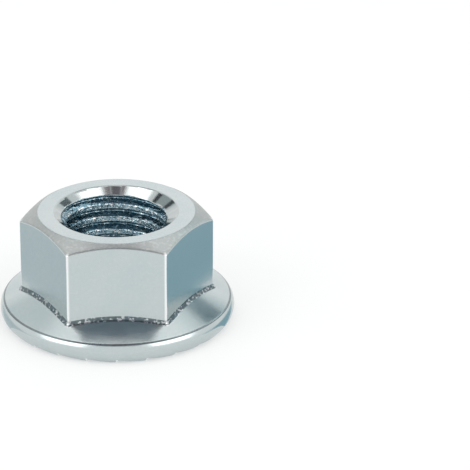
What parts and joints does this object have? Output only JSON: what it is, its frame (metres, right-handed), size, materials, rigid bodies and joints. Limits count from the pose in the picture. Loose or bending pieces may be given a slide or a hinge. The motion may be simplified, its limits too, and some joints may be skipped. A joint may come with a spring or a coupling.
{
  "type": "hex flange nut",
  "caption": "Hexagon nut with a broad one-piece flange, ratchet serrations on its bearing face, a chamfered top and a through thread with countersunk mouths.",
  "frame": {"origin": "on the thread axis, in the plane that the crests of the serrations bear on", "axes": "+Z along the thread axis from the bearing face to the top of the hexagon; -Y out of one flat of the hexagon; +X through one of its corners"},
  "size_m": [0.0208, 0.0208, 0.01],
  "materials": {
    "zinc_plate": "bright zinc plating with a faint blue cast over forged and tapped steel"
  },
  "bodies": {
    "root": {"flange_nut": "zinc_plate"}
  },
  "joints": []
}
